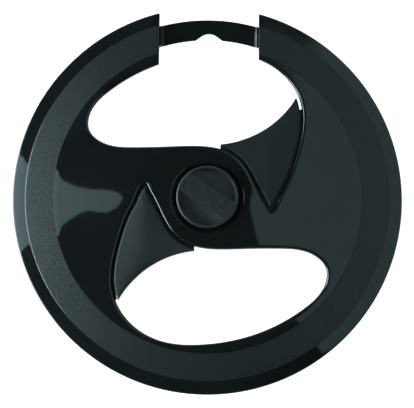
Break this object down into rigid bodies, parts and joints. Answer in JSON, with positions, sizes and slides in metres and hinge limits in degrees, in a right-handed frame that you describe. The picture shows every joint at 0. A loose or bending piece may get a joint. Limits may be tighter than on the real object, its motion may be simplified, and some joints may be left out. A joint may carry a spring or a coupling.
{
  "type": "bicycle chain guard",
  "caption": "Domed round bicycle chain guard with a grained outer band, curved open windows part-filled by inset fins, a crank notch with a recessed strap, and a screw-in hub cap.",
  "frame": {"origin": "on the hub axis, in the plane of the rim's back", "axes": "+Z along the hub axis out of the guard's front, +Y through the middle of the crank notch, +X to the right seen from the front"},
  "size_m": [0.2, 0.1966, 0.0208],
  "materials": {
    "shell": "gloss black moulding, with a satin grained band inside the bevelled rim",
    "insert": "satin black moulding with a fine grain",
    "screw": "satin black moulding"
  },
  "bodies": {
    "root": {"guard_shell": "shell", "fin_insert": "insert", "centre_screw": "screw"}
  },
  "joints": []
}
